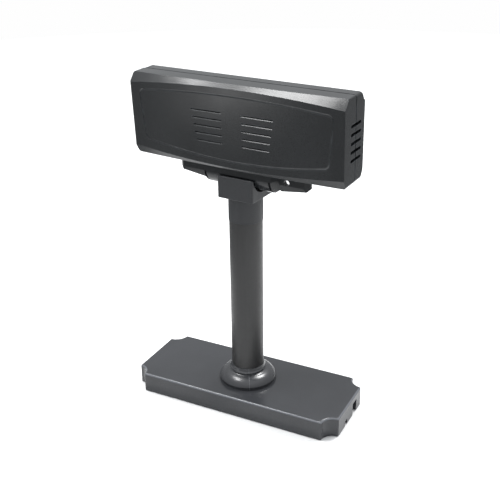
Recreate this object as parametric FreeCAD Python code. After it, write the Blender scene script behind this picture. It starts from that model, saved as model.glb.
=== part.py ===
import FreeCAD, Part
import math
import os

# Customer pole display for a checkout counter: a flat notched base, a round pole, a yoke that
# swivels on the pole, and a wide display head that tilts in the yoke.
# Units are millimetres. +Z is up, the customer's side faces -Y and the cashier's side faces +Y.
# The origin is on the floor under the middle of the base, on the pole's axis.
# "Head" functions build in the head's own frame, whose origin is the tilt axis; on_head() places them.

V = FreeCAD.Vector
X_AXIS = V(1, 0, 0)
Y_AXIS = V(0, 1, 0)
Z_AXIS = V(0, 0, 1)
ORIGIN = V(0, 0, 0)

# ---- pose at rest ----
swivel_at_rest = -4.9     # degrees about the pole, head against base
tilt_at_rest = 2.4        # degrees about the tilt axis, screen facing slightly up

# ---- base ----
base_w = 223.0            # along X
base_d = 87.0             # along Y
base_bottom = 0.8         # lower edge of the casing above the floor
base_top = 20.8
base_wall = 2.5
notch_r = 12.75           # concave quarter circle at each corner
notch_soft_r = 1.6        # rounding where a notch meets a side
base_edge_r = 2.2
plate_t = 2.0             # plastic bottom plate
ballast_t = 5.5           # steel ballast plate
ballast_w, ballast_d = 150.0, 66.0
base_boss_points = [(sx * 88.0, sy * 27.0) for sx in (-1, 1) for sy in (-1, 1)]
foot_points = [(sx * 92.0, sy * 17.0) for sx in (-1, 1) for sy in (-1, 1)]
foot_r = 6.5
foot_pocket = 0.6         # depth of the feet's pockets in the bottom plate
countersink = 1.0         # depth of the screw heads' pockets in the bottom plate
ballast_screw_x = (-60.0, 60.0)

# ---- inlets in the end of the base at -X ----
board_z = 4.4             # underside of the interface board
board_pitch = [(x, y) for x in (-96.0, -82.0) for y in (-3.0, 17.0)]
data_slot = (-18.2, -8.2)
data_slot_top = 13.8
power_slot = (6.6, 12.0)
power_slot_top = 6.6
jack_front = -108.2       # mouth of both jacks, just inside the casing's end wall

# ---- pole and collar ----
pole_r = 16.0
pole_wall = 1.6
pole_foot = 8.2
pole_top = 194.6
collar_flange_r = 28.7
collar_spigot_r = 18.0
collar_nut_flats = 43.8
collar_bottom = 6.6
lock_screw_r = 1.5
lock_screw_z = 10.9

# ---- swivel ----
coupler_r = 16.5
coupler_gap = 0.35        # visible joint between pole and coupler
spigot_r = 12.4
spigot_bore_r = 9.2
spigot_bottom = 168.0
bush_bottom = 172.6
clip_r = 12.9             # retaining ring, which stands out past the bush's bore
running_gap = 0.05

# ---- yoke ----
yoke_w = 38.0
yoke_wall = 2.5
yoke_bottom = 218.8
yoke_top = 240.2
yoke_floor = 3.0
yoke_corner_r = 2.0
yoke_rim_r = 0.8
saddle_r = 17.3           # cut in the side walls round the bracket's drum

# ---- tilt hinge ----
tilt_z = 242.8            # height of the tilt axis
drum_r = 15.4             # half drum of the bracket, about the tilt axis
drum_wall = 2.4
drum_in, drum_out = 16.8, 33.2
drum_groove = 2.2         # gap between the drum's end and the cheek beside it
cheek_end = 39.5          # the cheeks taper into the bar and end here
rim_z = -1.2              # top of the drum's round face
brow_in = 10.0            # the wall above the drum stays clear of the yoke's ears from here
ear_clear = 8.4           # half width of the space round each ear
ear_in, ear_out, ear_r = 9.4, 13.4, 5.8
hub_half = 8.5
tilt_bolt_r = 2.0

# ---- head, in the frame of the tilt axis ----
head_w = 220.0
head_low, head_high = 6.2, 83.8
rear_y = 20.5             # flat rear face
part_y = -1.0             # joint between the two casings
front_y = -16.0           # face of the front casing behind the window
shell = 2.4
seam_depth = 1.1
rear_arc_high, rear_arc_high_bow = 75.4, 5.6
rear_arc_low, rear_arc_low_bow = 15.1, 6.9
bar_half = 69.5           # half length of the bracket's bar
bar_y = 6.3
bar_wall = 5.0            # the bar's wall on the cashier's side
bar_low = -12.8           # lower edge beside the drum, which rises to bar_low_end at the ends
bar_low_end = -8.2
flange_low = 4.3          # underside of the plate that meets the head
flange_y = 13.4
bar_hole_x, bar_hole_z, bar_hole_r = 47.0, -2.6, 2.8
vent_h = 2.9
vent_rows = [28.3 + 7.63 * i for i in range(5)]
louvre_h, louvre_depth = 1.8, 1.25
louvre_rows = [29.3 + 7.0 * i for i in range(5)]
window_low, window_high = 14.4, 75.4
window_half = head_w / 2 - 0.4
cable_hole_y = -7.0
bracket_screw_y = 1.9
bracket_screw_x = (-60.0, -38.6, 38.6, 60.0)
case_screw_points = [(x, z) for x in (-100.5, 100.5) for z in (19.5, 70.0)]
board_w, board_low, board_high = 186.0, 19.0, 71.0
board_front, board_t = -4.2, 1.6
board_screw_points = [(x, z) for x in (-88.0, 88.0) for z in (22.5, 67.5)]
vfd_w, vfd_low, vfd_high, vfd_front, vfd_t = 172.0, 26.0, 64.0, -13.0, 7.4


# ---- helpers ----

def box(x0, x1, y0, y1, z0, z1):
    return Part.makeBox(x1 - x0, y1 - y0, z1 - z0, V(x0, y0, z0))


def rod(radius, start, end):
    """Round bar from one point to another."""
    line = end - start
    return Part.makeCylinder(radius, line.Length, start, line)


def disc(radius, z0, z1, x=0.0, y=0.0):
    return rod(radius, V(x, y, z0), V(x, y, z1))


def ring(outer, inner, z0, z1, x=0.0, y=0.0):
    return disc(outer, z0, z1, x, y).cut(disc(inner, z0, z1, x, y))


def prism_x(points, x0, x1):
    """Solid with a closed (y, z) outline, from x0 to x1."""
    wire = Part.makePolygon([V(x0, y, z) for y, z in points + points[:1]])
    return Part.Face(wire).extrude(V(x1 - x0, 0, 0))


def prism_z(points, z0, z1):
    """Solid with a closed (x, y) outline, from z0 to z1."""
    wire = Part.makePolygon([V(x, y, z0) for x, y in points + points[:1]])
    return Part.Face(wire).extrude(V(0, 0, z1 - z0))


def prism_y(points, y0, y1):
    """Solid with a closed (x, z) outline, from y0 to y1."""
    wire = Part.makePolygon([V(x, y0, z) for x, z in points + points[:1]])
    return Part.Face(wire).extrude(V(0, y1 - y0, 0))


def hexagon(across_flats, z0, z1):
    corner = across_flats / math.sqrt(3)
    angles = [math.radians(60 * i) for i in range(6)]
    return prism_z([(corner * math.cos(a), corner * math.sin(a)) for a in angles], z0, z1)


def edges_where(shape, test):
    return [e for e in shape.Edges if test(e.BoundBox)]


def fuse(first, *others):
    return first.multiFuse(list(others)).removeSplitter()


def mirrored_x(shape):
    return shape.mirror(ORIGIN, X_AXIS)


def both_sides(shape):
    return [shape, mirrored_x(shape)]


def cut_all(shape, tools):
    for tool in tools:
        shape = shape.cut(tool)
    return shape


def pan_screw(radius, head_r, head_h, length):
    """Cross-recessed screw along Z: head bottom at z = 0, shank downwards."""
    head = disc(head_r, 0, head_h)
    head = head.makeFillet(head_h * 0.4, edges_where(head, lambda b: b.ZMin > head_h - 0.01))
    body = fuse(head, disc(radius, -length, 0))
    slot = head_r * 0.62
    arm = head_r * 0.16
    cross = fuse(box(-slot, slot, -arm, arm, head_h * 0.45, head_h + 1),
                 box(-arm, arm, -slot, slot, head_h * 0.45, head_h + 1))
    return body.cut(cross)


def moved(shape, x, y, z):
    copy = shape.copy()
    copy.translate(V(x, y, z))
    return copy


def turned(shape, axis, degrees):
    copy = shape.copy()
    copy.rotate(ORIGIN, axis, degrees)
    return copy


def on_swivel(shape):
    return turned(shape, Z_AXIS, swivel_at_rest)


def on_head(shape):
    """Place a shape built about the tilt axis at its tilt and swivel."""
    return on_swivel(moved(turned(shape, X_AXIS, -tilt_at_rest), 0, 0, tilt_z))


def save(name, *shapes):
    shape = shapes[0] if len(shapes) == 1 else Part.makeCompound(list(shapes))
    shape.exportStep("parts/" + name + ".step")
    print(name, len(shape.Solids), "solids,", round(shape.Volume / 1000.0, 2), "cm3")


# ---- base ----

def base_outline(inset):
    """Rectangle with a concave quarter circle in each corner, set in from the casing's side."""
    hx, hy = base_w / 2 - inset, base_d / 2 - inset
    r = notch_r
    solid = box(-hx, hx, -hy, hy, 0, 1)
    for sx in (-1, 1):
        for sy in (-1, 1):
            corner = disc(r + inset, -1, 2, sx * base_w / 2, sy * base_d / 2)
            solid = solid.cut(corner)
    tips = edges_where(solid, lambda b: b.ZLength > 0.9)
    if inset == 0:
        solid = solid.makeFillet(notch_soft_r, tips)
    return solid


def base_block(inset, z0, z1):
    face = [f for f in base_outline(inset).Faces if f.BoundBox.ZMax < 0.01][0]
    outline = face.copy()
    outline.translate(V(0, 0, z0))
    return outline.extrude(V(0, 0, z1 - z0))


def base_cover():
    outer = base_block(0, base_bottom, base_top)
    outer = outer.makeFillet(base_edge_r, edges_where(outer, lambda b: b.ZMin > base_top - 0.01))
    inner_top = base_top - base_wall
    cover = outer.cut(base_block(base_wall, base_bottom - 1, inner_top))
    bosses = [disc(3.6, base_bottom + plate_t, inner_top, x, y) for x, y in base_boss_points]
    ribs = [box(-100, 100, y - 0.8, y + 0.8, inner_top - 2.2, inner_top) for y in (-36, 36)]
    ribs += [box(x - 0.8, x + 0.8, -39.5, 39.5, inner_top - 2.2, inner_top) for x in (-60, 60)]
    cover = fuse(cover, *(bosses + ribs))
    holes = [disc(1.2, 0, 14.0, x, y) for x, y in base_boss_points]
    holes.append(disc(collar_spigot_r + 0.1, 10, 30))
    end = -base_w / 2
    for (y0, y1), top in ((data_slot, data_slot_top), (power_slot, power_slot_top)):
        holes.append(box(end - 1, end + base_wall + 0.1, y0, y1, 0, top))
    return cut_all(cover, holes)


def base_plate():
    plate = base_block(base_wall + 0.25, base_bottom, base_bottom + plate_t)
    plate = fuse(plate, *[disc(2.6, base_bottom + plate_t, board_z, x, y) for x, y in board_pitch])
    holes = [disc(foot_r + 0.1, 0, base_bottom + foot_pocket, x, y) for x, y in foot_points]
    holes += [disc(0.9, base_bottom + 0.8, 5, x, y) for x, y in board_pitch]
    for x, y in base_boss_points + [(x, 0) for x in ballast_screw_x]:
        holes += [disc(1.7, 0, 5, x, y), disc(3.4, 0, base_bottom + countersink, x, y)]
    return cut_all(plate, holes)


def base_feet():
    foot = disc(foot_r, 0, base_bottom + foot_pocket)
    foot = foot.makeFillet(0.5, edges_where(foot, lambda b: b.ZMax < 0.01))
    return [moved(foot, x, y, 0) for x, y in foot_points]


def ballast_plate():
    """Steel plate with a hole for the collar's spigot and a channel for the lead."""
    z0 = base_bottom + plate_t
    plate = box(-ballast_w / 2 + 6, ballast_w / 2, -ballast_d / 2, ballast_d / 2, z0, z0 + ballast_t)
    plate = plate.makeFillet(5.0, edges_where(plate, lambda b: b.ZLength > ballast_t - 0.1))
    holes = [disc(collar_spigot_r + 3.0, 0, 20), box(-ballast_w, -10, -14.0, -7.0, z0, 20)]
    holes += [disc(1.25, 0, 20, x, 0) for x in ballast_screw_x]
    return cut_all(plate, holes)


def base_screws():
    """Screws up through the bottom plate into the casing's four bosses."""
    screw = turned(pan_screw(1.2, 3.0, countersink, 10.0), X_AXIS, 180)
    return [moved(screw, x, y, base_bottom + countersink) for x, y in base_boss_points]


def ballast_screws():
    screw = turned(pan_screw(1.25, 3.0, countersink, 6.0), X_AXIS, 180)
    return [moved(screw, x, 0, base_bottom + countersink) for x in ballast_screw_x]


def interface_board():
    board = box(-100.0, -79.0, -21.0, 21.0, board_z, board_z + board_t)
    return cut_all(board, [disc(1.0, 0, 20, x, y) for x, y in board_pitch])


def interface_screws():
    screw = pan_screw(0.9, 1.9, 1.2, 3.2)
    return [moved(screw, x, y, board_z + board_t) for x, y in board_pitch]


def data_jack():
    """Six-way modular jack, whose mouth fills the larger opening."""
    y0, y1 = data_slot
    low = board_z + board_t
    body = box(jack_front, -90.0, y0 - 1.2, y1 + 1.2, low, low + 11.0)
    mouth = box(jack_front - 1, -96.0, y0 + 0.1, y1 - 0.1, low + 1.4, low + 8.0)
    latch = box(jack_front - 1, -97.5, y0 + 2.1, y1 - 2.1, low + 7.9, low + 9.6)
    return body.cut(mouth).cut(latch)


def data_jack_contacts():
    """Six spring contacts lying in the floor of the jack's mouth."""
    low = board_z + board_t + 1.4
    middle = (data_slot[0] + data_slot[1]) / 2
    places = [middle + 1.27 * (i - 2.5) for i in range(6)]
    return [box(-104.0, -96.0, y - 0.25, y + 0.25, low, low + 0.5) for y in places]


def power_jack():
    """Coaxial power jack on the floor of the base, behind the smaller opening."""
    middle = (power_slot[0] + power_slot[1]) / 2
    low = base_bottom + plate_t
    body = box(jack_front, -101.0, middle - 3.4, middle + 3.4, low, low + 4.6)
    bore = rod(1.6, V(jack_front - 1, middle, low + 2.0), V(-102.2, middle, low + 2.0))
    return body.cut(bore)


def power_jack_pin():
    middle = (power_slot[0] + power_slot[1]) / 2
    z = base_bottom + plate_t + 2.0
    return rod(0.6, V(-106.4, middle, z), V(-102.2, middle, z))


# ---- collar and pole ----

def pole_collar():
    """Conical flange on the base with a lipped socket for the pole and a threaded spigot below."""
    bore = pole_r + running_gap
    flare = Part.Arc(V(19.6, 0, 31.6), V(25.3, 0, 28.7), V(collar_flange_r, 0, 24.2)).toShape()
    points = [V(collar_flange_r, 0, 24.2), V(collar_flange_r, 0, 23.5), V(collar_flange_r - 0.6, 0, 22.8),
              V(collar_flange_r - 0.6, 0, base_top), V(collar_spigot_r, 0, base_top),
              V(collar_spigot_r, 0, collar_bottom), V(12.6, 0, collar_bottom), V(12.6, 0, pole_foot),
              V(bore, 0, pole_foot), V(bore, 0, 38.4), V(16.7, 0, 38.4), V(17.1, 0, 37.0), V(17.6, 0, 35.8),
              V(18.4, 0, 35.0), V(18.5, 0, 34.3), V(17.6, 0, 33.6), V(17.5, 0, 32.6), V(18.8, 0, 31.9),
              V(19.6, 0, 31.6)]
    outline = Part.Wire([flare] + [Part.makeLine(a, b) for a, b in zip(points, points[1:])])
    collar = Part.Face(outline).revolve(ORIGIN, Z_AXIS, 360)
    return collar.cut(rod(lock_screw_r, V(0, -20, lock_screw_z), V(0, 0, lock_screw_z)))


def collar_nut():
    z1 = base_top - base_wall
    nut = hexagon(collar_nut_flats, z1 - 6.0, z1)
    return nut.cut(disc(collar_spigot_r, 0, 30))


def pole_tube():
    tube = ring(pole_r, pole_r - pole_wall, pole_foot, pole_top)
    return tube.cut(rod(lock_screw_r, V(0, -20, lock_screw_z), V(0, 0, lock_screw_z)))


def pole_lock_screw():
    """Grub screw through the collar's spigot that keeps the pole from turning."""
    return rod(lock_screw_r, V(0, -17.8, lock_screw_z), V(0, -13.4, lock_screw_z))


def swivel_bush():
    """Bearing sleeve pressed in the pole's top, with a stop tongue at its foot."""
    bore = spigot_r + running_gap
    sleeve = ring(pole_r - pole_wall, bore, bush_bottom, pole_top)
    wedge = box(-1.3, 1.3, -pole_r, 0, bush_bottom - 4.4, bush_bottom)
    tongue = ring(pole_r - pole_wall, clip_r + 0.1, bush_bottom - 4.4, bush_bottom).common(wedge)
    return fuse(sleeve, tongue)


# ---- swivel body ----

def swivel_yoke():
    """Coupler, spigot, box-shaped yoke with saddle cuts, and two ears that hold the tilt bolt."""
    half = yoke_w / 2
    inside = half - yoke_wall
    walls = box(-half, half, -half, half, yoke_bottom, yoke_top)
    walls = walls.makeFillet(yoke_corner_r, edges_where(walls, lambda b: b.ZLength > 20))
    walls = walls.makeFillet(0.6, edges_where(walls, lambda b: b.ZMax < yoke_bottom + 0.01))
    walls = walls.makeFillet(yoke_rim_r, edges_where(walls, lambda b: b.ZMin > yoke_top - 0.01))
    floor_z = yoke_bottom + yoke_floor
    walls = walls.cut(box(-inside, inside, -inside, inside, floor_z, yoke_top + 1))
    saddle = rod(saddle_r, V(-half - 1, 0, tilt_z), V(half + 1, 0, tilt_z))
    walls = walls.cut(saddle)
    ear = fuse(rod(ear_r, V(ear_in, 0, tilt_z), V(ear_out, 0, tilt_z)),
               box(ear_in, ear_out, -ear_r, ear_r, floor_z - 0.5, tilt_z))
    stiffener = box(ear_in, ear_out, -inside, inside, floor_z - 0.5, floor_z + 3.0)
    yoke = fuse(walls, disc(coupler_r, pole_top + coupler_gap, yoke_bottom + 1),
                disc(spigot_r, spigot_bottom, yoke_bottom), *(both_sides(ear) + both_sides(stiffener)))
    yoke = yoke.cut(disc(spigot_bore_r, spigot_bottom - 1, floor_z + 3.5))
    yoke = yoke.cut(box(-6.5, 6.5, -14.0, 0, floor_z - 2.0, floor_z + 3.5))
    groove = ring(spigot_r + 1, spigot_r - 1.1, bush_bottom - 2.4, bush_bottom - 1.0)
    bolt = rod(tilt_bolt_r, V(-40, 0, tilt_z), V(40, 0, tilt_z))
    return on_swivel(yoke.cut(groove).cut(bolt))


def swivel_clip():
    """Retaining ring in the spigot's groove, with a tab that meets the bush's stop tongue."""
    z0, z1 = bush_bottom - 2.3, bush_bottom - 1.1
    clip = ring(clip_r, spigot_r - 1.1, z0, z1)
    clip = clip.cut(box(-1.3, 1.3, -15, -5, z0 - 1, z1 + 1))
    tab = ring(clip_r + 0.5, spigot_r - 1.1, z0, z1).common(box(-1.2, 1.2, 0, 15, z0, z1))
    return on_swivel(fuse(clip, tab))


def thrust_ring():
    """Washer under the coupler that carries the head's weight on the bush."""
    return on_swivel(ring(spigot_r + 1.1, spigot_r, pole_top, pole_top + coupler_gap))


def tilt_bolt():
    """Socket-headed bolt through the yoke's ears and the bracket's hub."""
    head = rod(3.6, V(-16.4, 0, 0), V(-ear_out, 0, 0))
    shank = rod(tilt_bolt_r, V(-ear_out, 0, 0), V(18.0, 0, 0))
    socket = moved(turned(hexagon(3.0, 0, 1.9), Y_AXIS, 90), -16.5, 0, 0)
    return on_swivel(moved(fuse(head, shank).cut(socket), 0, 0, tilt_z))


def tilt_nut():
    nut = turned(hexagon(7.0, ear_out, ear_out + 3.0), Y_AXIS, 90)
    nut = nut.cut(rod(tilt_bolt_r, V(0, 0, 0), V(30, 0, 0)))
    return on_swivel(moved(nut, 0, 0, tilt_z))


def friction_washers():
    """Pair of washers pinched between the yoke's ears and the bracket's hub."""
    washer = rod(5.5, V(hub_half + 0.05, 0, 0), V(ear_in, 0, 0))
    washer = washer.cut(rod(tilt_bolt_r, V(0, 0, 0), V(20, 0, 0)))
    return [on_swivel(moved(w, 0, 0, tilt_z)) for w in both_sides(washer)]


# ---- head: tilt bracket ----

def bracket_bar():
    """Wall under the head with a bevelled lower edge, and the plate along its top."""
    inner = bar_y - bar_wall
    outline = [(bar_y, head_low), (bar_y, -5.2), (bar_y - 1.9, bar_low), (inner, bar_low),
               (inner, flange_low), (-bar_y, flange_low), (-bar_y, head_low)]
    bar = prism_x(outline, -bar_half, bar_half)
    nose = box(bar_half - 4.5, bar_half, -bar_y, bar_y, bar_low_end, head_low)
    bar = fuse(bar, *both_sides(nose))
    foot = bar_low - 5.0
    under = prism_y([(drum_out + 3.0, bar_low), (drum_out + 3.0, foot), (bar_half + 1.0, foot),
                     (bar_half + 1.0, -4.8), (bar_half - 2.6, bar_low_end)], -10, 10)
    out, lean = bar_half + 1.0, bar_y + 1.0
    near = prism_z([(out, lean), (bar_half - 5.1, lean), (bar_half - 4.1, bar_y),
                    (bar_half, bar_y - 3.0), (out, bar_y - 3.8)], -20, 20)
    far = prism_z([(out, 2.0), (bar_half, 0.4), (bar_half - 4.0, -bar_y), (bar_half - 4.5, -lean),
                   (out, -lean)], -20, 20)
    return cut_all(bar, both_sides(under) + both_sides(near) + both_sides(far))


def lower_half(radius, x0, x1):
    """The part of a cylinder about the tilt axis that lies below the axis."""
    return rod(radius, V(x0, 0, 0), V(x1, 0, 0)).cut(box(x0 - 1, x1 + 1, -30, 30, 0, 30))


def bracket_cheek():
    """Cheek beside the drum's groove, which tapers into the bar's wall."""
    arc = [math.radians(a) for a in (10, 24, 38, 52, 66)]
    big = [(5.0, flange_low), (flange_y, flange_low), (drum_r - 0.1, rim_z)]
    big += [(drum_r * math.cos(a) - 0.1, -drum_r * math.sin(a) + 0.1) for a in arc] + [(5.0, -9.0)]
    small = [(5.0, flange_low), (6.2, flange_low), (6.2, rim_z), (6.2, -2.4), (6.2, -4.2), (5.9, -6.5),
             (5.4, -9.0), (4.9, -11.0), (4.6, -9.6)]
    sections = [Part.makePolygon([V(x, y, z) for y, z in points + points[:1]])
                for x, points in ((drum_out + drum_groove, big), (cheek_end, small))]
    return Part.makeLoft(sections, True, True)


def bracket_drum():
    """Half drum that rests in the yoke's saddle, and the wall that rises from it to the plate."""
    bore = drum_r - drum_wall
    hollow = rod(bore, V(drum_in + drum_wall, 0, 0), V(drum_out + 0.1, 0, 0))
    hollow = hollow.cut(box(0, 50, -20, 20, rim_z - 1.0, 20))
    drum = lower_half(drum_r, drum_in, drum_out).cut(hollow).cut(box(0, 50, 5, 20, rim_z, 1))
    core = lower_half(bore + 0.4, drum_out - drum_wall, drum_out + drum_groove + 0.2)
    core = core.common(box(0, 50, bar_y - bar_wall, 20, -20, 0))
    shell = lower_half(drum_r, -drum_in, drum_in).cut(rod(bore, V(-20, 0, 0), V(20, 0, 0)))
    lip = shell.common(box(-drum_in, drum_in, 0, 20, -6.0, rim_z))
    face = [(brow_in, flange_low), (flange_y, flange_low), (drum_r - 0.1, rim_z), (brow_in, rim_z)]
    brow = prism_x(face, -drum_in, drum_in)
    inner = bar_y - bar_wall
    block = prism_x([(inner, flange_low)] + face[1:3] + [(inner, rim_z - 0.5)], drum_in,
                    drum_out + drum_groove + 0.1)
    return both_sides(fuse(drum, core, block, bracket_cheek())) + [lip, brow]


def tilt_bracket():
    """Plate under the head, its long bar, the half drum and the hub that the bolt passes through."""
    flange = box(-drum_out, drum_out, -flange_y, flange_y, flange_low, head_low)
    hub = box(-hub_half, hub_half, -bar_y, bar_y, -9.2, head_low)
    neck = box(-hub_half, hub_half, bar_y - 1, brow_in + 0.5, rim_z, flange_low)
    bracket = fuse(bracket_bar(), flange, hub, neck, *bracket_drum())
    ear_space = box(hub_half, drum_in, -ear_clear, ear_clear, -20, flange_low)
    ear_window = box(hub_half, ear_out + 0.9, -ear_r - 0.6, ear_r + 0.6, flange_low - 0.3, head_low + 1)
    tools = both_sides(ear_space) + both_sides(ear_window)
    tools += [rod(tilt_bolt_r + running_gap, V(-20, 0, 0), V(20, 0, 0)),
              box(-7.0, 7.0, -flange_y - 1, -bar_y - 0.8, 4.0, head_low + 1),
              rod(bar_hole_r, V(-bar_hole_x, 0, bar_hole_z), V(-bar_hole_x, 20, bar_hole_z))]
    for x in bracket_screw_x:
        tools += [disc(1.6, 0, 20, x, bracket_screw_y), disc(3.1, -20, flange_low, x, bracket_screw_y)]
    return on_head(cut_all(bracket, tools))


def bracket_screws():
    screw = turned(pan_screw(1.5, 2.8, 2.0, 8.2), X_AXIS, 180)
    return [on_head(moved(screw, x, bracket_screw_y, flange_low)) for x in bracket_screw_x]


# ---- head: casings ----

def bevel_cutter(arc_z, bow, limit_z, depth_end, depth_middle):
    """Wedge above (or below) a bowed edge of the rear face, out to a limit plane."""
    up = 1 if limit_z > arc_z else -1
    sections = []
    for i in range(-4, 5):
        t = i / 4.0
        x = t * (head_w / 2 + 1.0)
        edge_z = arc_z + up * bow * (1 - t * t)
        depth = depth_middle + (depth_end - depth_middle) * t * t
        slope = (limit_z - edge_z) / depth
        low = V(x, rear_y + 2.0, edge_z - 2.0 * slope)
        high = V(x, rear_y - depth - 3.0, limit_z + 3.0 * slope)
        corner = V(x, rear_y + 2.0, limit_z + 3.0 * slope)
        sections.append(Part.makePolygon([low, high, corner, low]))
    return Part.makeLoft(sections, True, False)


def shield_wire(grow, y):
    """Closed outline of the rear cover's raised panel: bowed top and bottom, leaning sides."""
    top_x, top_z, top_bow = 99.9 + grow, 69.7 + grow, 4.6
    low_x, low_z, low_bow = 95.6 + grow, 23.6 - grow, 9.2
    a, b = V(-top_x, y, top_z), V(top_x, y, top_z)
    c, d = V(low_x, y, low_z), V(-low_x, y, low_z)
    top = Part.Arc(a, V(0, y, top_z + top_bow), b).toShape()
    low = Part.Arc(c, V(0, y, low_z - low_bow), d).toShape()
    wire = Part.Wire([top, Part.makeLine(b, c), low, Part.makeLine(d, a)])
    block = Part.Face(wire).extrude(V(0, 1, 0))
    corners = edges_where(block, lambda e: e.YLength > 0.99 and e.XLength < 0.01)
    block = block.makeFillet(5.0 + grow, corners)
    face = [f for f in block.Faces if f.BoundBox.YMax < y + 0.01][0]
    return face.OuterWire


def shield_groove():
    """V-groove round the panel."""
    half, depth = 0.9, 0.5
    outer = Part.makeLoft([shield_wire(half, rear_y), shield_wire(0.0, rear_y - depth)], True, True)
    inner = Part.makeLoft([shield_wire(-half, rear_y), shield_wire(0.0, rear_y - depth)], True, True)
    return outer.cut(inner)


def louvre_cuts():
    """Blind sawtooth grooves in two groups, five rows each."""
    cuts = []
    for i, z in enumerate(louvre_rows):
        outer = 38.0 + 1.15 * i
        profile = [(rear_y + 0.3, z - 0.3), (rear_y - louvre_depth, z + louvre_depth),
                   (rear_y, z + louvre_h), (rear_y + 0.3, z + louvre_h)]
        cuts += both_sides(prism_x(profile, 10.4, outer))
    return cuts


def seam_step(y0, y1):
    """Shallow step round the joint between the two casings."""
    inner = box(-head_w / 2 + seam_depth, head_w / 2 - seam_depth, y0 - 1, y1 + 1,
                head_low + seam_depth, head_high - seam_depth)
    return box(-head_w, head_w, y0, y1, 0, 2 * head_high).cut(inner)


def end_vents():
    cuts = []
    for z in vent_rows:
        slot = box(head_w / 2 - 5, head_w / 2 + 2, -11.2, 8.5, z - vent_h / 2, z + vent_h / 2)
        slot = slot.makeFillet(vent_h / 2 - 0.1, edges_where(slot, lambda b: b.XLength > 6))
        cuts += both_sides(slot)
    return cuts


def rear_cover():
    """Rear casing: slanted upper and lower strips, grooved panel, louvres, vents and screw bosses."""
    outline = [(part_y, head_low), (rear_y, head_low), (rear_y, head_high), (part_y, head_high)]
    outer = prism_x(outline, -head_w / 2, head_w / 2)
    outer = outer.makeFillet(1.5, edges_where(outer, lambda b: b.YLength > 20 and b.ZMin > head_high - 1))
    outer = outer.makeFillet(2.6, edges_where(outer, lambda b: b.YLength > 20 and b.ZMax < head_low + 1))
    upright = edges_where(outer, lambda b: b.ZLength > 60 and b.YMin > rear_y - 0.01)
    outer = outer.makeFillet(0.7, upright)
    outer = outer.cut(bevel_cutter(rear_arc_high, rear_arc_high_bow, head_high, 7.14, 5.1))
    outer = outer.cut(bevel_cutter(rear_arc_low, rear_arc_low_bow, head_low, 4.65, 1.3))
    inside = [(part_y - 1, head_low + shell), (14.5, head_low + shell), (18.0, 15.6), (18.0, 74.3),
              (12.3, head_high - shell), (part_y - 1, head_high - shell)]
    cover = outer.cut(prism_x(inside, -head_w / 2 + shell, head_w / 2 - shell))
    cover = cover.cut(seam_step(part_y, part_y + 0.8))
    bosses = [rod(3.4, V(x, part_y, z), V(x, 18.2, z)) for x, z in case_screw_points]
    bosses += [disc(2.8, head_low + 1, head_low + 9.0, x, bracket_screw_y) for x in bracket_screw_x]
    cover = fuse(cover, *bosses)
    holes = [rod(1.25, V(x, part_y - 1, z), V(x, 9.0, z)) for x, z in case_screw_points]
    holes += [disc(1.5, 0, head_low + 6.5, x, bracket_screw_y) for x in bracket_screw_x]
    return on_head(cut_all(cover, holes + louvre_cuts() + end_vents() + [shield_groove()]))


def front_shell():
    outline = [(part_y, head_low), (part_y, head_high), (-11.9, head_high), (front_y, 75.9),
               (front_y, 14.0), (-11.8, head_low)]
    outer = prism_x(outline, -head_w / 2, head_w / 2)
    outer = outer.makeFillet(3.0, edges_where(outer, lambda b: b.YLength > 8 and b.ZLength < 0.01))
    inside = [(part_y + 1, head_low + shell), (part_y + 1, head_high - shell), (-9.5, head_high - shell),
              (-13.7, 74.8), (-13.7, 15.0), (-10.6, head_low + shell)]
    frame = outer.cut(prism_x(inside, -head_w / 2 + shell, head_w / 2 - shell))
    opening = box(-80.0, 80.0, -20, -10, 30.0, 60.0)
    opening = opening.makeFillet(3.0, edges_where(opening, lambda b: b.YLength > 9))
    frame = frame.cut(opening)
    posts = [rod(3.4, V(x, -13.8, z), V(x, part_y, z)) for x, z in case_screw_points]
    posts += [rod(2.6, V(x, -13.8, z), V(x, board_front, z)) for x, z in board_screw_points]
    frame = fuse(frame, *posts)
    holes = [rod(1.6, V(x, -20, z), V(x, 2, z)) for x, z in case_screw_points]
    holes += [rod(3.0, V(x, -20, z), V(x, -14.1, z)) for x, z in case_screw_points]
    holes += [rod(1.0, V(x, -12.0, z), V(x, 0, z)) for x, z in board_screw_points]
    holes += [seam_step(part_y - 0.6, part_y), disc(2.5, 0, 20, 0, cable_hole_y)]
    return on_head(cut_all(frame, holes + end_vents()))


def cable_grommet():
    y = cable_hole_y
    body = fuse(ring(2.5, 1.7, head_low, head_low + shell + 0.9, 0, y),
                ring(3.4, 1.7, head_low + shell, head_low + shell + 0.9, 0, y))
    return on_head(body)


def case_screws():
    screw = turned(pan_screw(1.25, 2.8, 1.6, 20.0), X_AXIS, 90)
    return [on_head(moved(screw, x, -14.1, z)) for x, z in case_screw_points]


def window_tape():
    """Thin adhesive frame behind the window."""
    half = window_half - 1.5
    outer = box(-half, half, front_y - 0.3, front_y, window_low + 1.5, window_high - 1.5)
    return on_head(outer.cut(box(-93.0, 93.0, -20, 0, 26.0, 64.0)))


def display_window():
    """Smoked filter window across the whole front, slightly thicker towards its top."""
    back = front_y - 0.3
    outline = [(back, window_low), (back, window_high), (-19.4, window_high), (-17.9, window_low)]
    window = prism_x(outline, -window_half, window_half)
    window = window.makeFillet(0.9, edges_where(window, lambda b: b.YMax < -17.5 or
                                                (b.XLength < 0.01 and b.YMax < -17.8)))
    return on_head(window)


# ---- head: electronics ----

def driver_board():
    board = box(-board_w / 2, board_w / 2, board_front, board_front + board_t, board_low, board_high)
    return on_head(cut_all(board, [rod(1.2, V(x, -10, z), V(x, 2, z)) for x, z in board_screw_points]))


def board_screws():
    screw = turned(pan_screw(1.0, 2.2, 1.4, 6.0), X_AXIS, -90)
    y = board_front + board_t
    return [on_head(moved(screw, x, y, z)) for x, z in board_screw_points]


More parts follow.
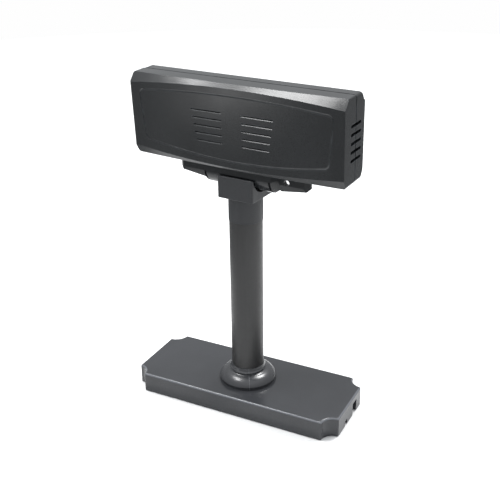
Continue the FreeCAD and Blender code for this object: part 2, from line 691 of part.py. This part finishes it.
def vfd_glass():
    """Flat evacuated display tube with its sealed tip at one end."""
    glass = box(-vfd_w / 2, vfd_w / 2, vfd_front, vfd_front + vfd_t, vfd_low, vfd_high)
    glass = glass.makeFillet(0.6, [e for e in glass.Edges if e.Length > 30])
    tip = rod(1.6, V(vfd_w / 2 - 6, vfd_front + vfd_t - 0.3, vfd_high - 6),
              V(vfd_w / 2 - 6, vfd_front + vfd_t + 0.9, vfd_high - 6))
    return on_head(fuse(glass, tip))


def vfd_leads():
    """Comb of lead wires from the tube's lower edge back to the board."""
    y1 = board_front
    leads = []
    for i in range(26):
        x = (i - 12.5) * 6.0
        leads.append(on_head(fuse(box(x - 0.3, x + 0.3, vfd_front + 3.6, vfd_front + 4.0, 23.6, vfd_low),
                                  box(x - 0.3, x + 0.3, vfd_front + 3.6, y1, 23.2, 23.6))))
    return leads


def vfd_pads():
    """Foam pads that keep the tube off the board."""
    y0, y1 = vfd_front + vfd_t, board_front
    return [on_head(box(x - 8, x + 8, y0, y1, 38.0, 52.0)) for x in (-60.0, 0.0, 60.0)]


def board_back(x0, x1, height, z0, z1):
    """Block standing on the board's rear face."""
    y = board_front + board_t
    return box(x0, x1, y, y + height, z0, z1)


def driver_chips():
    wide = [board_back(x - 7.5, x + 7.5, 2.0, 40.0, 50.0) for x in (-58.0, -34.0)]
    return [on_head(c) for c in wide]


def controller_chip():
    return on_head(board_back(-8.0, 8.0, 1.8, 38.0, 54.0))


def converter_coil():
    y = board_front + board_t
    core = fuse(rod(7.0, V(40, y, 46), V(40, y + 1.6, 46)), rod(4.4, V(40, y, 46), V(40, y + 8, 46)),
                rod(7.0, V(40, y + 6.6, 46), V(40, y + 8.2, 46)))
    return on_head(core)


def capacitors():
    y = board_front + board_t
    return [on_head(rod(4.0, V(x, y, z), V(x, y + 11.0, z))) for x, z in ((58, 56), (58, 42), (70, 49))]


def head_connector():
    """Box header on the board where the pole's lead plugs in."""
    body = board_back(-10.0, 10.0, 8.0, 22.5, 29.5)
    y = board_front + board_t
    return on_head(body.cut(box(-9.0, 9.0, y + 1.5, y + 9, 23.4, 28.6)))


def code_switch():
    y = board_front + board_t
    body = board_back(22.0, 32.0, 4.0, 23.0, 30.0)
    keys = [box(23.0 + 2.4 * i, 24.2 + 2.4 * i, y + 3.2, y + 5.0, 25.6, 27.4) for i in range(4)]
    return on_head(fuse(body, *keys))


# ---- write the parts ----

os.makedirs("parts", exist_ok=True)
save("base_cover", base_cover())
save("base_plate", base_plate())
save("base_feet", *base_feet())
save("ballast_plate", ballast_plate())
save("base_screws", *base_screws())
save("ballast_screws", *ballast_screws())
save("interface_board", interface_board())
save("interface_screws", *interface_screws())
save("data_jack", data_jack())
save("data_jack_contacts", *data_jack_contacts())
save("power_jack", power_jack())
save("power_jack_pin", power_jack_pin())
save("pole_collar", pole_collar())
save("collar_nut", collar_nut())
save("pole_tube", pole_tube())
save("pole_lock_screw", pole_lock_screw())
save("swivel_bush", swivel_bush())
save("swivel_yoke", swivel_yoke())
save("swivel_clip", swivel_clip())
save("thrust_ring", thrust_ring())
save("tilt_bolt", tilt_bolt())
save("tilt_nut", tilt_nut())
save("friction_washers", *friction_washers())
save("tilt_bracket", tilt_bracket())
save("bracket_screws", *bracket_screws())
save("rear_cover", rear_cover())
save("front_shell", front_shell())
save("cable_grommet", cable_grommet())
save("case_screws", *case_screws())
save("window_tape", window_tape())
save("display_window", display_window())
save("driver_board", driver_board())
save("board_screws", *board_screws())
save("vfd_glass", vfd_glass())
save("vfd_leads", *vfd_leads())
save("vfd_pads", *vfd_pads())
save("driver_chips", *driver_chips())
save("controller_chip", controller_chip())
save("converter_coil", converter_coil())
save("capacitors", *capacitors())
save("head_connector", head_connector())
save("code_switch", code_switch())
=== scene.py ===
import math
import bmesh
import bpy
from mathutils import Matrix, Vector

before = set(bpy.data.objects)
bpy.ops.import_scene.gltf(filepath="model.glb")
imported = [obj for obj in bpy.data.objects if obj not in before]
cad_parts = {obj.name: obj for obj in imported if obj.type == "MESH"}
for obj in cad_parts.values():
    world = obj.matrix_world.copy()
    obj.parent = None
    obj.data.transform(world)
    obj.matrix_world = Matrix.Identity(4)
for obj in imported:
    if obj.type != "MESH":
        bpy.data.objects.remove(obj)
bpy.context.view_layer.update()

# Customer pole display, seen from the cashier's side. Every piece is the CAD's own mesh, so this
# script adds materials, a studio and a camera. Lengths are in metres, noise scales are per metre
# and colours are linear RGB.
MM = 0.001


# ---- node helpers ----

class Nodes:
    """A material's node tree, with short calls for the nodes that the finishes share."""

    def __init__(self, name):
        self.material = bpy.data.materials.new(name)
        self.material.use_nodes = True
        self.tree = self.material.node_tree
        self.tree.nodes.clear()
        self.out = self.add("ShaderNodeOutputMaterial")
        self.place = self.add("ShaderNodeTexCoord").outputs["Object"]

    def add(self, kind):
        return self.tree.nodes.new(kind)

    def link(self, source, target):
        self.tree.links.new(source, target)

    def surface(self, shader):
        self.link(shader, self.out.inputs["Surface"])

    def principled(self, **values):
        shader = self.add("ShaderNodeBsdfPrincipled")
        for key, value in values.items():
            shader.inputs[key.replace("_", " ")].default_value = value
        self.surface(shader.outputs[0])
        return shader

    def stretched(self, x, y, z):
        """Object coordinates scaled differently along each axis."""
        node = self.add("ShaderNodeMapping")
        node.inputs["Scale"].default_value = (x, y, z)
        self.link(self.place, node.inputs["Vector"])
        return node.outputs[0]

    def noise(self, scale, detail, vector=None):
        """Noise from 0 to 1, over the object's own coordinates unless a vector is given."""
        node = self.add("ShaderNodeTexNoise")
        node.inputs["Scale"].default_value = scale
        node.inputs["Detail"].default_value = detail
        self.link(vector or self.place, node.inputs["Vector"])
        return node.outputs["Fac"]

    def remap(self, value, from_low, from_high, to_low, to_high):
        node = self.add("ShaderNodeMapRange")
        node.inputs["From Min"].default_value = from_low
        node.inputs["From Max"].default_value = from_high
        node.inputs["To Min"].default_value = to_low
        node.inputs["To Max"].default_value = to_high
        self.link(value, node.inputs["Value"])
        return node.outputs["Result"]

    def maths(self, operation, a, b):
        node = self.add("ShaderNodeMath")
        node.operation = operation
        for socket, value in zip(node.inputs, (a, b)):
            if isinstance(value, (int, float)):
                socket.default_value = value
            else:
                self.link(value, socket)
        return node.outputs[0]

    def mix(self, factor, a, b):
        """Colour between a and b; each is a colour or a socket."""
        node = self.add("ShaderNodeMix")
        node.data_type = "RGBA"     # its factor is input 0, its colours are inputs 6 and 7 and output 2
        for socket, value in ((node.inputs[0], factor), (node.inputs[6], a), (node.inputs[7], b)):
            if isinstance(value, (int, float)):
                socket.default_value = value
            elif isinstance(value, tuple):
                socket.default_value = (*value[:3], 1.0)
            else:
                self.link(value, socket)
        return node.outputs[2]

    def bump(self, height, depth, normal=None):
        node = self.add("ShaderNodeBump")
        node.inputs["Distance"].default_value = depth
        self.link(height, node.inputs["Height"])
        if normal:
            self.link(normal, node.inputs["Normal"])
        return node.outputs[0]

    def parting_line(self, across, half_width):
        """1 on an upright plane through the origin, falling to 0 beside it."""
        split = self.add("ShaderNodeSeparateXYZ")
        self.link(self.place, split.inputs[0])
        side = self.maths("ADD", self.maths("MULTIPLY", split.outputs["X"], across[0]),
                          self.maths("MULTIPLY", split.outputs["Y"], across[1]))
        return self.remap(self.maths("ABSOLUTE", side, 0.0), 0.2 * half_width, half_width, 1.0, 0.0)

    def leaning(self):
        """1 on faces that lean up about half way, 0 on upright and level ones, to place a painted highlight
        there. For a still body only.
        """
        split = self.add("ShaderNodeSeparateXYZ")
        self.link(self.add("ShaderNodeNewGeometry").outputs["Normal"], split.inputs[0])
        up = split.outputs["Z"]
        off_upright = self.remap(up, 0.15, 0.5, 0.0, 1.0)
        off_level = self.remap(up, 0.98, 0.85, 0.0, 1.0)
        return self.maths("MULTIPLY", off_upright, off_level)

    def edges(self, radius):
        """0 on flat faces, 1 along sharp outer and inner edges.

        It compares the plain normal with one that is rounded over the radius, by the cosine between them.
        """
        soft = self.add("ShaderNodeBevel")
        soft.samples = 6
        soft.inputs["Radius"].default_value = radius
        plain = self.add("ShaderNodeNewGeometry")
        dot = self.add("ShaderNodeVectorMath")
        dot.operation = "DOT_PRODUCT"
        self.link(soft.outputs[0], dot.inputs[0])
        self.link(plain.outputs["Normal"], dot.inputs[1])
        return self.remap(dot.outputs["Value"], 0.995, 0.86, 0.0, 1.0)


def scaled(colour, factor):
    """Paler or darker colour, kept below white."""
    return tuple(min(1.0, c * factor) for c in colour)


RUB_AND_HIGHLIGHT_REACH = 0.7 * MM                # how far from a sharp edge the plastic is paled, partly as rubbing and partly as a painted highlight
RUB_POLISH = 0.1                    # how much roughness the rubbing takes off
MOULD_LINE_HALF = 0.35 * MM
MOULD_LINE_HEIGHT = 0.15 * MM
# how much paler the mould line is drawn, partly wear and partly a painted highlight on its ridge
MOULD_LINE_WEAR_AND_HIGHLIGHT = 0.45


def plastic(name, colour, rough, grain=0.5, grain_depth=0.012, mottle=0.1, wear=0.3, rub_and_highlight_pale=3.2,
            wave_depth=0.0, specular=0.5, parting=None, leaning_highlight=0.0):
    """Moulded plastic: spark-eroded grain, faint cloudiness, edges rubbed smoother and drawn paler, the
    paleness partly rubbing and partly a painted highlight.

    rough is the lowest and highest roughness; grain, grain_depth and wave_depth are in millimetres.
    mottle is how far the cloudiness changes the tone.
    wear is how strongly the sharp edges are paled and smoothed, and the factor after it is how many times
    paler they are there; on the head and the base that paleness is partly rubbing and partly a painted
    highlight along edges, grooves and louvres.
    parting is the (x, y) normal of an upright plane through the origin that leaves a fine mould line, raised
    and drawn paler, the paleness partly wear and partly a painted highlight.
    The last argument is how far a painted highlight, the same paleness as on the rubbed edges, covers faces
    that lean between upright and level.
    """
    n = Nodes(name)
    shader = n.principled(Specular_IOR_Level=specular)
    cloud = n.noise(16.0, 4.0)
    speck = n.noise(1300.0, 2.0)
    tone = n.maths("ADD", n.remap(cloud, 0.3, 0.7, -mottle, mottle), n.remap(speck, 0.3, 0.7, -0.1, 0.1))
    body = n.mix(n.remap(tone, -0.25, 0.25, 0.0, 1.0), scaled(colour, 0.74), scaled(colour, 1.3))
    scuffs = n.remap(n.noise(70.0, 5.0), 0.42, 0.62, 0.25, 1.0)
    # Paler sharp edges: rubbing, and also a painted highlight along edges and grooves.
    edge = n.maths("MULTIPLY", n.maths("MULTIPLY", n.edges(RUB_AND_HIGHLIGHT_REACH), scuffs), wear)
    # Painted highlight on faces that lean half way up, such as the fillets along the top edges.
    if leaning_highlight:
        edge = n.maths("MAXIMUM", edge, n.maths("MULTIPLY", n.leaning(), leaning_highlight))
    # The mould line is raised and also drawn paler, partly wear and partly a painted highlight on its ridge.
    if parting:
        line = n.parting_line(parting, MOULD_LINE_HALF)
        edge = n.maths("MAXIMUM", edge, n.maths("MULTIPLY", line, MOULD_LINE_WEAR_AND_HIGHLIGHT))
    # The edges take the paler colour, partly rubbing and partly painted highlight.
    n.link(n.mix(edge, body, scaled(colour, rub_and_highlight_pale)), shader.inputs["Base Color"])
    patches = n.remap(n.noise(34.0, 3.0), 0.25, 0.75, rough[0], rough[1])
    polish = n.maths("MULTIPLY", edge, RUB_POLISH)
    n.link(n.maths("SUBTRACT", patches, polish), shader.inputs["Roughness"])
    grains = n.noise(1.0 / (grain * MM), 3.0)
    normal = n.bump(grains, grain_depth * MM)
    if parting:
        normal = n.bump(line, MOULD_LINE_HEIGHT, normal=normal)
    if wave_depth:
        normal = n.bump(n.noise(30.0, 0.0), wave_depth * MM, normal=normal)
    n.link(normal, shader.inputs["Normal"])
    return n.material


def painted_tube(name, colour):
    """Drawn tube under a satin coat: long faint draw lines along Z and orange peel across them."""
    n = Nodes(name)
    shader = n.principled(Specular_IOR_Level=0.55)
    lines = n.noise(1.0, 3.0, n.stretched(420.0, 420.0, 9.0))
    peel = n.noise(480.0, 3.0)
    cloud = n.noise(22.0, 3.0)
    tone = n.maths("ADD", n.remap(lines, 0.3, 0.7, -0.5, 0.5), n.remap(cloud, 0.3, 0.7, -0.5, 0.5))
    body = n.mix(n.remap(tone, -1.0, 1.0, 0.0, 1.0), scaled(colour, 0.8), scaled(colour, 1.22))
    edge = n.maths("MULTIPLY", n.edges(0.5 * MM), 0.35)
    n.link(n.mix(edge, body, scaled(colour, 3.0)), shader.inputs["Base Color"])
    n.link(n.remap(peel, 0.3, 0.7, 0.36, 0.5), shader.inputs["Roughness"])
    normal = n.bump(peel, 0.012 * MM)
    n.link(n.bump(lines, 0.012 * MM, normal=normal), shader.inputs["Normal"])
    return n.material


def plated_steel(name, colour, rough, brush):
    """Zinc-plated steel with dull spots and brush marks; brush is the marks' scale along X, Y and Z."""
    n = Nodes(name)
    shader = n.principled(Metallic=1.0)
    marks = n.noise(1.0, 3.0, n.stretched(*brush))
    spots = n.remap(n.noise(90.0, 5.0), 0.45, 0.65, 0.0, 1.0)
    n.link(n.mix(spots, colour, scaled(colour, 0.7)), shader.inputs["Base Color"])
    n.link(n.remap(marks, 0.3, 0.7, rough - 0.08, rough + 0.12), shader.inputs["Roughness"])
    n.link(n.bump(marks, 0.01 * MM), shader.inputs["Normal"])
    return n.material


def rubber(name, colour):
    """Matt pitted rubber or foam with dust on it."""
    n = Nodes(name)
    shader = n.principled(Specular_IOR_Level=0.3)
    pits = n.noise(900.0, 4.0)
    dust = n.remap(n.noise(55.0, 5.0), 0.5, 0.75, 0.0, 0.45)
    n.link(n.mix(dust, colour, scaled(colour, 4.0)), shader.inputs["Base Color"])
    n.link(n.remap(pits, 0.3, 0.7, 0.72, 0.92), shader.inputs["Roughness"])
    n.link(n.bump(pits, 0.03 * MM), shader.inputs["Normal"])
    return n.material


def circuit_board(name, mask):
    """Solder mask over copper: raised paler tracks in a grid, with bare tinned pads between them."""
    n = Nodes(name)
    shader = n.principled(Coat_Weight=0.35, Coat_Roughness=0.12)
    cells = n.add("ShaderNodeTexVoronoi")
    cells.distance = "CHEBYCHEV"
    cells.feature = "DISTANCE_TO_EDGE"
    cells.inputs["Scale"].default_value = 260.0
    n.link(n.place, cells.inputs["Vector"])
    tracks = n.remap(cells.outputs["Distance"], 0.08, 0.16, 1.0, 0.0)
    pads = n.remap(n.noise(620.0, 0.0), 0.68, 0.7, 0.0, 1.0)
    green = n.mix(tracks, mask, scaled(mask, 1.9))
    n.link(n.mix(pads, green, (0.55, 0.55, 0.5)), shader.inputs["Base Color"])
    n.link(n.remap(n.noise(200.0, 2.0), 0.3, 0.7, 0.28, 0.42), shader.inputs["Roughness"])
    n.link(n.bump(tracks, 0.03 * MM), shader.inputs["Normal"])
    return n.material


def smoked_acrylic(name):
    """Dark filter window: what is behind it shows dimly, and its face is glossy with faint wipe marks."""
    n = Nodes(name)
    clear = n.add("ShaderNodeBsdfTransparent")
    haze = n.remap(n.noise(12.0, 4.0), 0.3, 0.7, 0.0, 1.0)
    n.link(n.mix(haze, (0.30, 0.34, 0.33), (0.26, 0.30, 0.29)), clear.inputs["Color"])
    body = n.add("ShaderNodeBsdfPrincipled")
    body.inputs["Base Color"].default_value = (0.006, 0.008, 0.009, 1.0)
    wipes = n.noise(1.0, 4.0, n.stretched(14.0, 60.0, 160.0))
    n.link(n.remap(wipes, 0.3, 0.7, 0.03, 0.09), body.inputs["Roughness"])
    mixer = n.add("ShaderNodeMixShader")
    fresnel = n.add("ShaderNodeFresnel")
    fresnel.inputs["IOR"].default_value = 1.49
    n.link(n.remap(fresnel.outputs[0], 0.0, 1.0, 0.35, 1.0), mixer.inputs[0])
    n.link(clear.outputs[0], mixer.inputs[1])
    n.link(body.outputs[0], mixer.inputs[2])
    n.surface(mixer.outputs[0])
    return n.material


def tube_glass(name):
    """Soda glass of the display tube, grey-green over its dark inside."""
    n = Nodes(name)
    shader = n.principled(Coat_Weight=1.0, Coat_Roughness=0.03)
    depth = n.noise(30.0, 3.0)
    n.link(n.mix(depth, (0.035, 0.05, 0.048), (0.055, 0.075, 0.07)), shader.inputs["Base Color"])
    n.link(n.remap(n.noise(150.0, 3.0), 0.3, 0.7, 0.1, 0.2), shader.inputs["Roughness"])
    return n.material


def shiny_metal(name, colour, rough):
    """Plated metal with small worn spots."""
    n = Nodes(name)
    shader = n.principled(Metallic=1.0)
    wear = n.noise(320.0, 4.0)
    n.link(n.mix(wear, scaled(colour, 0.8), scaled(colour, 1.1)), shader.inputs["Base Color"])
    n.link(n.remap(wear, 0.3, 0.7, rough, rough + 0.18), shader.inputs["Roughness"])
    return n.material


# ---- finishes ----

# Colours of the charcoal plastics.
BASE = (0.0288, 0.0302, 0.0335)     # base and collar
YOKE = (0.0205, 0.0218, 0.0242)
HEAD = (0.0135, 0.0148, 0.016)      # head and its bracket
SATIN = (0.2, 0.265)    # roughness; one that crosses 0.27 within a face shows as an outline after denoising

finishes = {
    # Base: its paler edges and leaning fillet faces are a painted highlight as well as rubbing.
    "base": plastic("base_casing", BASE, SATIN, wear=0.6, rub_and_highlight_pale=5.5, specular=0.4, leaning_highlight=0.68),
    # Head: its strong edge paleness paints a highlight along the panel groove and louvres, on top of
    # rubbing.
    "head": plastic("head_casing", HEAD, SATIN, mottle=0.14, wear=0.8, rub_and_highlight_pale=9.0, wave_depth=0.12),
    "bracket": plastic("bracket_plastic", HEAD, SATIN, specular=0.3),
    "yoke": plastic("yoke_plastic", YOKE, (0.38, 0.5)),
    "collar": plastic("collar_gloss", BASE, (0.24, 0.27), grain_depth=0.006, wear=0.4, rub_and_highlight_pale=5.0,
                      specular=0.62, parting=(0.866, 0.5)),
    "pole": painted_tube("pole_coat", (0.016, 0.016, 0.0162)),
    "black": plastic("black_plastic", (0.014, 0.014, 0.015), (0.35, 0.5)),
    "bearing": plastic("natural_acetal", (0.62, 0.6, 0.54), (0.3, 0.42), grain_depth=0.005, wear=0.0),
    "rubber": rubber("foot_rubber", (0.016, 0.016, 0.017)),
    "ballast": plated_steel("ballast_plate_steel", (0.46, 0.46, 0.47), 0.42, (30.0, 900.0, 900.0)),
    "screws": plated_steel("screw_zinc", (0.58, 0.58, 0.6), 0.28, (500.0, 500.0, 1500.0)),
    "board": circuit_board("board_mask", (0.014, 0.09, 0.035)),
    "gold": shiny_metal("contact_gold", (0.85, 0.62, 0.25), 0.18),
    "tin": shiny_metal("tinned_lead", (0.7, 0.7, 0.68), 0.25),
    "window": smoked_acrylic("smoked_filter"),
    "tube": tube_glass("tube_glass"),
    "chip": plastic("chip_epoxy", (0.018, 0.018, 0.02), (0.5, 0.62), grain=0.2),
    "ferrite": plastic("ferrite_core", (0.07, 0.066, 0.065), (0.4, 0.6), grain=0.3, mottle=0.2),
    "sleeve": plastic("capacitor_sleeve", (0.02, 0.035, 0.11), (0.22, 0.32), grain_depth=0.003),
    "nylon": plastic("connector_nylon", (0.66, 0.64, 0.58), (0.35, 0.45), wear=0.0),
    "red": plastic("switch_red", (0.4, 0.03, 0.02), (0.28, 0.36), wear=0.0),
}

node_finish = {
    "base": ["base_cover"],
    "black": ["base_plate", "data_jack", "power_jack", "window_tape", "cable_grommet"],
    "rubber": ["base_feet", "vfd_pads"],
    "ballast": ["ballast_plate"],
    "screws": ["base_screws", "ballast_screws", "interface_screws", "pole_lock_screw", "swivel_clip",
               "tilt_bolt", "tilt_nut", "friction_washers", "bracket_screws", "case_screws", "board_screws"],
    "board": ["interface_board", "driver_board"],
    "gold": ["data_jack_contacts", "power_jack_pin"],
    "tin": ["vfd_leads"],
    "collar": ["pole_collar", "collar_nut"],
    "pole": ["pole_tube"],
    "bearing": ["swivel_bush", "thrust_ring"],
    "yoke": ["swivel_yoke"],
    "bracket": ["tilt_bracket"],
    "head": ["rear_cover", "front_shell"],
    "window": ["display_window"],
    "tube": ["vfd_glass"],
    "chip": ["driver_chips", "controller_chip"],
    "ferrite": ["converter_coil"],
    "sleeve": ["capacitors"],
    "nylon": ["head_connector"],
    "red": ["code_switch"],
}
for finish, names in node_finish.items():
    for name in names:
        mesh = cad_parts[name].data
        mesh.materials.clear()
        mesh.materials.append(finishes[finish])


# ---- studio ----

RIM_STEPS = 96                      # sides of the round floor and wall
NEAR_FLOOR_CENTRE = (-0.17, -0.03)
NEAR_FLOOR_R = 0.47                 # the object reflects this part of the floor only
FAR_FLOOR_R = 2.6                   # past the foot of the wall
WALL_R = 2.2
WALL_TOP = 4.0
SKY_STRENGTH = 1.25
SKY_STOPS = ((0.05, 0.3), (0.28, 0.6), (0.48, 0.55), (0.75, 0.97))  # sine of elevation, grey


def softbox(name, azimuth, elevation, distance, size, power, target=(0.0, 0.0, 0.2)):
    """Rectangular lamp that faces its target. Azimuth runs from +Y towards +X; power is in watts."""
    a, e = math.radians(azimuth), math.radians(elevation)
    out = Vector((math.sin(a) * math.cos(e), math.cos(a) * math.cos(e), math.sin(e)))
    data = bpy.data.lights.new(name, "AREA")
    data.shape = "RECTANGLE"
    data.size, data.size_y = size
    data.energy = power
    lamp = bpy.data.objects.new(name, data)
    lamp.location = Vector(target) + out * distance
    lamp.rotation_euler = (-out).to_track_quat("-Z", "Y").to_euler()
    lamp.visible_camera = False
    bpy.context.scene.collection.objects.link(lamp)


def circle(net, radius, z, centre=(0.0, 0.0)):
    """Vertices of a level circle."""
    turns = [2.0 * math.pi * i / RIM_STEPS for i in range(RIM_STEPS)]
    return [net.verts.new((centre[0] + radius * math.cos(t), centre[1] + radius * math.sin(t), z))
            for t in turns]


def bridge(net, first, second):
    """Faces between two circles."""
    for i in range(RIM_STEPS):
        j = (i + 1) % RIM_STEPS
        net.faces.new((first[i], second[i], second[j], first[j]))


def studio_object(name, net, material):
    """Scene object from a bmesh, which is freed."""
    mesh = bpy.data.meshes.new(name)
    net.to_mesh(mesh)
    net.free()
    mesh.materials.append(material)
    thing = bpy.data.objects.new(name, mesh)
    bpy.context.scene.collection.objects.link(thing)
    return thing


def floor_ring(name, inner, outer, material):
    """Flat floor between two radii about NEAR_FLOOR_CENTRE; an inner radius of 0 gives a disc."""
    net = bmesh.new()
    rim = circle(net, outer, 0.0, NEAR_FLOOR_CENTRE)
    if inner:
        bridge(net, circle(net, inner, 0.0, NEAR_FLOOR_CENTRE), rim)
    else:
        net.faces.new(rim)
    ring = studio_object(name, net, material)
    return ring


def backdrop():
    """Pale wall round the studio. Only the camera sees it, so it neither lights nor reflects."""
    n = Nodes("backdrop_paper")
    glow = n.add("ShaderNodeEmission")
    n.link(n.mix(n.noise(0.4, 2.0), (0.98, 0.98, 0.98), (1.0, 1.0, 1.0)), glow.inputs["Color"])
    n.surface(glow.outputs[0])
    net = bmesh.new()
    foot = circle(net, WALL_R, 0.0)
    bridge(net, circle(net, WALL_R, WALL_TOP), foot)
    wall = studio_object("backdrop", net, n.material)
    for ray in ("diffuse", "glossy", "transmission", "volume_scatter", "shadow"):
        setattr(wall, "visible_" + ray, False)


def floor():
    """Pale paper. Its far part is hidden from reflections, so that the dark plastic keeps its contrast."""
    n = Nodes("floor_paper")
    shader = n.principled(Specular_IOR_Level=0.2)
    fibres = n.noise(240.0, 3.0)
    n.link(n.mix(fibres, (0.86, 0.86, 0.86), (0.9, 0.9, 0.9)), shader.inputs["Base Color"])
    n.link(n.remap(fibres, 0.3, 0.7, 0.7, 0.9), shader.inputs["Roughness"])
    floor_ring("floor_near", 0.0, NEAR_FLOOR_R, n.material)
    far = floor_ring("floor_far", NEAR_FLOOR_R, FAR_FLOOR_R, n.material)
    far.visible_glossy = False


def sky():
    """Soft light from all round, darker near the horizon and brighter overhead."""
    world = bpy.data.worlds.new("studio")
    world.use_nodes = True
    tree = world.node_tree
    light = tree.nodes["Background"]
    direction = tree.nodes.new("ShaderNodeTexCoord")
    height = tree.nodes.new("ShaderNodeSeparateXYZ")
    tone = tree.nodes.new("ShaderNodeValToRGB")
    tree.links.new(direction.outputs["Generated"], height.inputs[0])
    tree.links.new(height.outputs["Z"], tone.inputs["Fac"])
    tree.links.new(tone.outputs["Color"], light.inputs["Color"])
    stops = tone.color_ramp.elements        # a new ramp has two of the four stops
    for position, _ in SKY_STOPS[1:3]:
        stops.new(position)
    for stop, (position, grey) in zip(stops, SKY_STOPS):
        stop.position = position
        stop.color = (grey * 0.98, grey, grey * 1.02, 1.0)
    light.inputs["Strength"].default_value = SKY_STRENGTH
    bpy.context.scene.world = world


def studio():
    floor()
    backdrop()
    sky()
    bpy.context.scene.view_settings.view_transform = "Standard"
    softbox("key_left_high", 75, 61.5, 1.6, (0.9, 0.42), 21, target=(0.0, 0.0, 0.3))
    softbox("back_high", 202, 57, 1.7, (0.5, 0.4), 23)
    # Gives the faint sheen on the head's rear panel.
    softbox("low_card", 38.5, -16, 0.85, (0.13, 0.05), 0.15, target=(-0.003, 0.024, 0.316))


def camera():
    """Camera whose place, axes and lens were fitted to the photograph's perspective."""
    place = Vector((-0.3391121, 0.65707826, 0.49378202))
    right = Vector((-0.89288052, -0.45016739, -0.01066319))
    up = Vector((0.17564707, -0.3699949, 0.9122784))
    forward = Vector((0.41462331, -0.81268265, -0.40943182))
    data = bpy.data.cameras.new("camera")
    data.sensor_width = 36.0
    data.lens = 60.785
    data.clip_start = 0.02
    data.clip_end = 60.0
    view = bpy.data.objects.new("camera", data)
    view.matrix_world = Matrix((right, up, -forward)).transposed().to_4x4()
    view.matrix_world.translation = place
    bpy.context.scene.collection.objects.link(view)
    bpy.context.scene.camera = view


studio()
camera()
